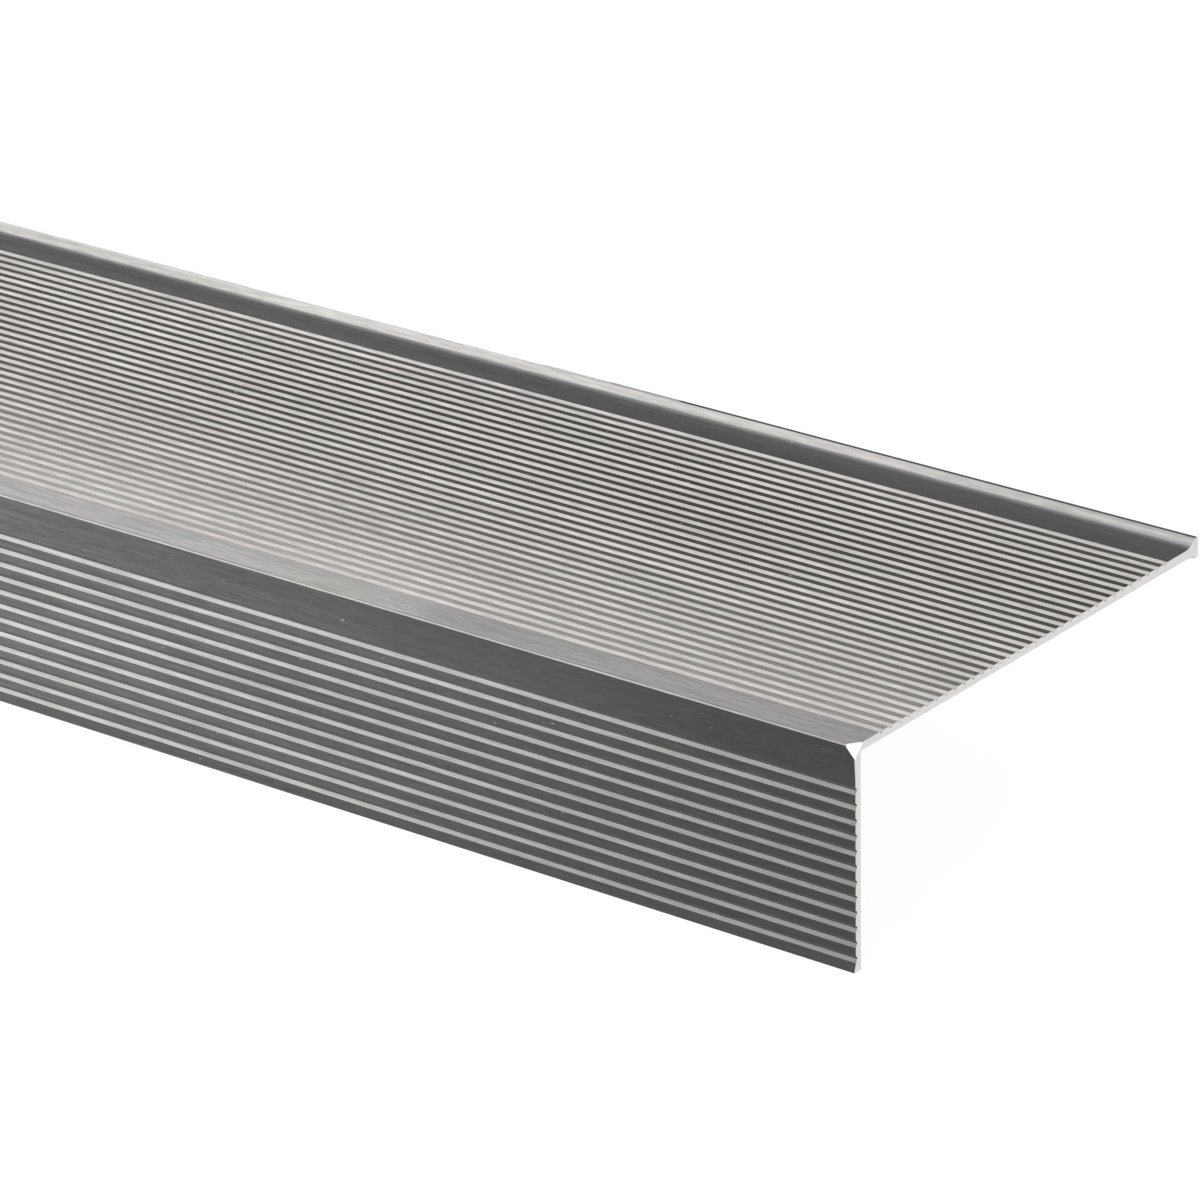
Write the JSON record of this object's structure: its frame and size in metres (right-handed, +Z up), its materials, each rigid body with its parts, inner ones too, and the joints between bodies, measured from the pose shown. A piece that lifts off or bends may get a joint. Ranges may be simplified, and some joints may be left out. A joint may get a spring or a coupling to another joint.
{
  "type": "threshold strip",
  "caption": "Ribbed aluminium angle that caps the front edge of a door sill or step: wide grooved tread, short grooved front leg, raised lip along the back edge.",
  "frame": {"origin": "in the inner corner, where the flat underside of the tread meets the flat back of the front leg, halfway along the strip: the edge of the step or sill that it caps", "axes": "+X along the strip, +Y from the front leg towards the lip at the back edge, +Z up, out of the tread"},
  "size_m": [0.9144, 0.0952, 0.0398],
  "materials": {
    "mill_aluminium": "mill finish: satin die lines along the strip, bright saw-cut ends"
  },
  "bodies": {
    "root": {"nosing_strip": "mill_aluminium"}
  },
  "joints": []
}
